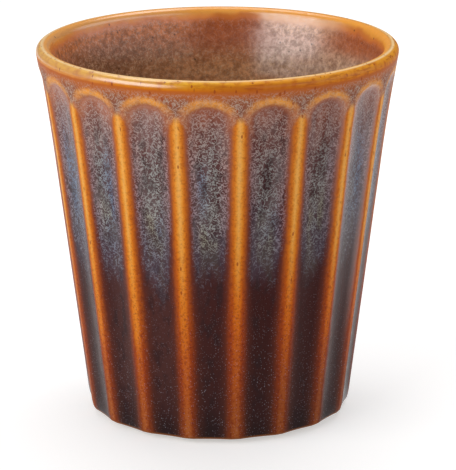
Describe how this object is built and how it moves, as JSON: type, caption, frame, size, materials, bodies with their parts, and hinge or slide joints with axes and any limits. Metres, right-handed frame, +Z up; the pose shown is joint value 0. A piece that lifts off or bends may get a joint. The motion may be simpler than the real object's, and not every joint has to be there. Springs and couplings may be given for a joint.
{
  "type": "latte cup",
  "caption": "Handleless tapering stoneware cup with arched flutes down its outside, a rounded lip, a glazed hollow for a milky coffee and a bare foot ring to stand on.",
  "frame": {"origin": "on the table, at the middle of the foot ring", "axes": "+Z up along the cup's axis, +X through the crest of one ridge"},
  "size_m": [0.085, 0.085, 0.089],
  "materials": {
    "bare_stoneware": "bare fired clay, matt and slightly gritty",
    "amber_brown_glaze": "glossy reactive glaze: amber on edges, mauve and blue-grey crystals above, dark brown below",
    "speckled_tan_glaze": "glossy tan-brown glaze with fine speckles",
    "dark_brown_glaze": "glossy dark brown glaze"
  },
  "bodies": {
    "root": {"stoneware_body": "bare_stoneware", "outer_glaze": "amber_brown_glaze", "inner_glaze": "speckled_tan_glaze", "underside_glaze": "dark_brown_glaze"}
  },
  "joints": []
}
